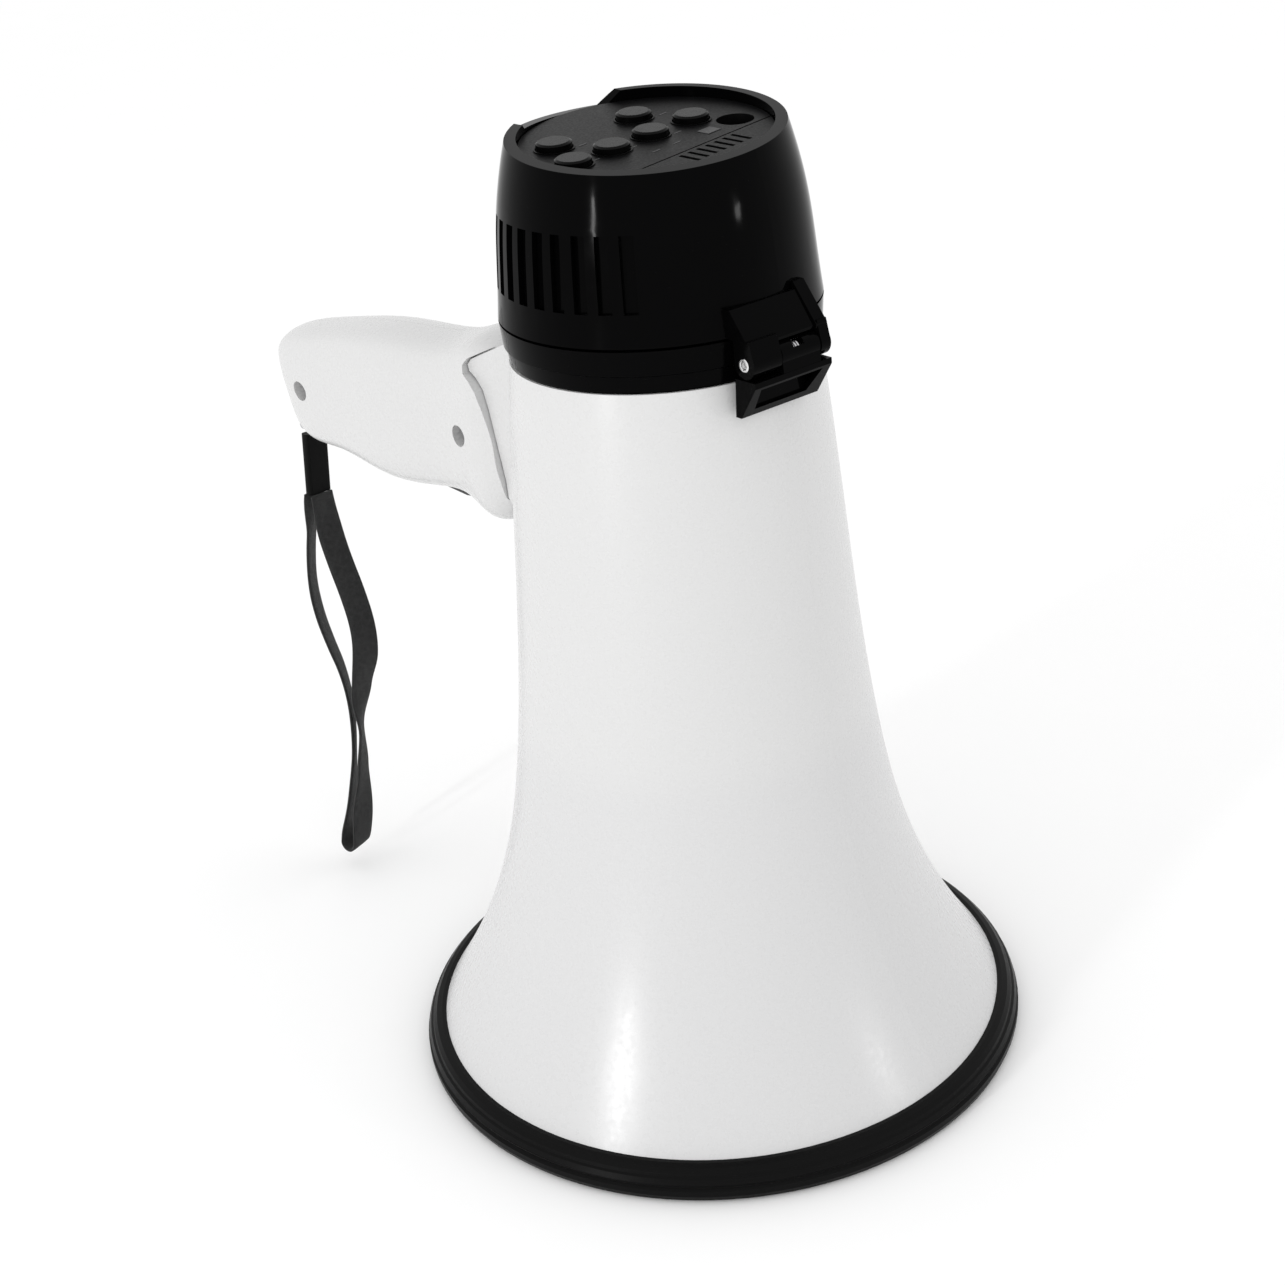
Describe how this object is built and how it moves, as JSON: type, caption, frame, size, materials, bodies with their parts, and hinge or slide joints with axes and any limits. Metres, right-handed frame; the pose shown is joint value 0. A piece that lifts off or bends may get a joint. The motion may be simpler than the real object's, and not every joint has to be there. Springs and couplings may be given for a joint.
{
  "type": "handheld megaphone",
  "caption": "Handheld megaphone: flared horn with reflex driver, tilted button panel, folding side handle with trigger, latched rear housing and wrist strap.",
  "frame": {"origin": "on the horn's axis, in the plane that the bell stands on", "axes": "+Z along the horn's axis from the bell to the control panel, -X to the handle, +X to the latch"},
  "size_m": [0.3098, 0.21, 0.3167],
  "materials": {
    "white_shell": "moulded ABS, satin gloss",
    "white_inner": "moulded",
    "black_gloss": "moulded ABS, gloss",
    "panel_satin": "fine spark-eroded satin",
    "trim_rubber": "extruded",
    "button_rubber": "smooth",
    "sleeve_rubber": "moulded",
    "webbing": "woven nylon",
    "steel": "zinc plated",
    "pin_bright": "bright",
    "zinc": "plated",
    "ferrite": "sintered",
    "copper": "enamelled wire",
    "diaphragm_film": "phenolic film",
    "black_inner": "moulded",
    "cell_jacket": "shrink sleeve",
    "lead_sheath": "PVC",
    "board_green": "solder mask",
    "legend_grey": "blank inlay",
    "jack_black": "moulded",
    "trigger_plastic": "moulded ABS, satin"
  },
  "bodies": {
    "horn": {"horn_shell": "white_shell", "bell_rim": "trim_rubber", "collar_ring": "black_gloss", "hinge_pin": "steel", "bulkhead": "white_inner", "bulkhead_screws": "steel", "tone_tube": "white_inner", "reflector": "white_inner", "reflector_spider": "white_inner", "driver_head": "black_inner", "diaphragm": "diaphragm_film", "voice_coil": "copper", "top_plate": "zinc", "magnet": "ferrite", "yoke": "zinc", "driver_cover": "black_inner", "driver_screws": "steel", "battery_box": "black_inner", "battery_box_screws": "steel", "battery_cells": "cell_jacket", "battery_contacts": "zinc", "driver_leads": "lead_sheath", "handle_bracket": "white_shell", "bracket_screws": "steel", "fold_pin": "steel"},
    "handle": {"grip_left": "white_shell", "grip_right": "white_shell", "grip_screws": "steel", "trigger_pin": "steel", "trigger_spring": "steel", "trigger_switch": "black_inner", "switch_carrier": "white_inner", "strap_pin": "steel", "strap_sleeve": "sleeve_rubber", "wrist_strap": "webbing"},
    "trigger_lever": {"trigger": "trigger_plastic"},
    "rear": {"rear_housing": "black_gloss", "control_panel": "panel_satin", "legend_plate": "legend_grey", "panel_screws": "steel", "circuit_board": "board_green", "board_components": "black_inner", "tact_switches": "black_inner", "microphone": "zinc", "mic_boot": "sleeve_rubber", "aux_jack": "jack_black", "contact_plate": "black_inner", "contact_plate_screws": "steel", "latch_pin": "pin_bright", "latch_spring": "steel"},
    "latch": {"latch_lever": "black_gloss"},
    "push_button_1": {"button_1": "button_rubber"},
    "push_button_2": {"button_2": "button_rubber"},
    "push_button_3": {"button_3": "button_rubber"},
    "push_button_4": {"button_4": "button_rubber"},
    "push_button_5": {"button_5": "button_rubber"},
    "push_button_6": {"button_6": "button_rubber"}
  },
  "joints": [
    {"name": "handle_fold", "type": "hinge", "parent": "horn", "child": "handle", "pos_m": [-0.0595, 0, 0.1885], "axis": [0, -1, 0], "range_deg": [0, 54], "deforming": ["wrist_strap", "strap_sleeve"]},
    {"name": "trigger_press", "type": "hinge", "parent": "handle", "child": "trigger_lever", "pos_m": [-0.11, 0, 0.186], "axis": [0, -1, 0], "range_deg": [0, 6], "stiffness_Nm_per_rad": 0.2, "springref_deg": -5.73, "deforming": ["trigger_spring"]},
    {"name": "rear_housing_open", "type": "hinge", "parent": "horn", "child": "rear", "pos_m": [-0.053, 0, 0.26], "axis": [0, -1, 0], "range_deg": [0, 90]},
    {"name": "latch_lever_swing", "type": "hinge", "parent": "rear", "child": "latch", "pos_m": [0.05409, -0.00664, 0.254], "axis": [-0.1219, -0.9925, 0], "range_deg": [0, 35], "stiffness_Nm_per_rad": 0.04, "springref_deg": -22.92, "deforming": ["latch_spring"]},
    {"name": "button_1_press", "type": "slide", "parent": "rear", "child": "push_button_1", "axis": [-0.0616, 0.0616, -0.9962], "range_m": [0, 0.0008], "stiffness_N_per_m": 1000, "springref_m": -0.0005},
    {"name": "button_2_press", "type": "slide", "parent": "rear", "child": "push_button_2", "axis": [-0.0616, 0.0616, -0.9962], "range_m": [0, 0.0008], "stiffness_N_per_m": 1000, "springref_m": -0.0005},
    {"name": "button_3_press", "type": "slide", "parent": "rear", "child": "push_button_3", "axis": [-0.0616, 0.0616, -0.9962], "range_m": [0, 0.0008], "stiffness_N_per_m": 1000, "springref_m": -0.0005},
    {"name": "button_4_press", "type": "slide", "parent": "rear", "child": "push_button_4", "axis": [-0.0616, 0.0616, -0.9962], "range_m": [0, 0.0008], "stiffness_N_per_m": 1000, "springref_m": -0.0005},
    {"name": "button_5_press", "type": "slide", "parent": "rear", "child": "push_button_5", "axis": [-0.0616, 0.0616, -0.9962], "range_m": [0, 0.0008], "stiffness_N_per_m": 1000, "springref_m": -0.0005},
    {"name": "button_6_press", "type": "slide", "parent": "rear", "child": "push_button_6", "axis": [-0.0616, 0.0616, -0.9962], "range_m": [0, 0.0008], "stiffness_N_per_m": 1000, "springref_m": -0.0005}
  ]
}
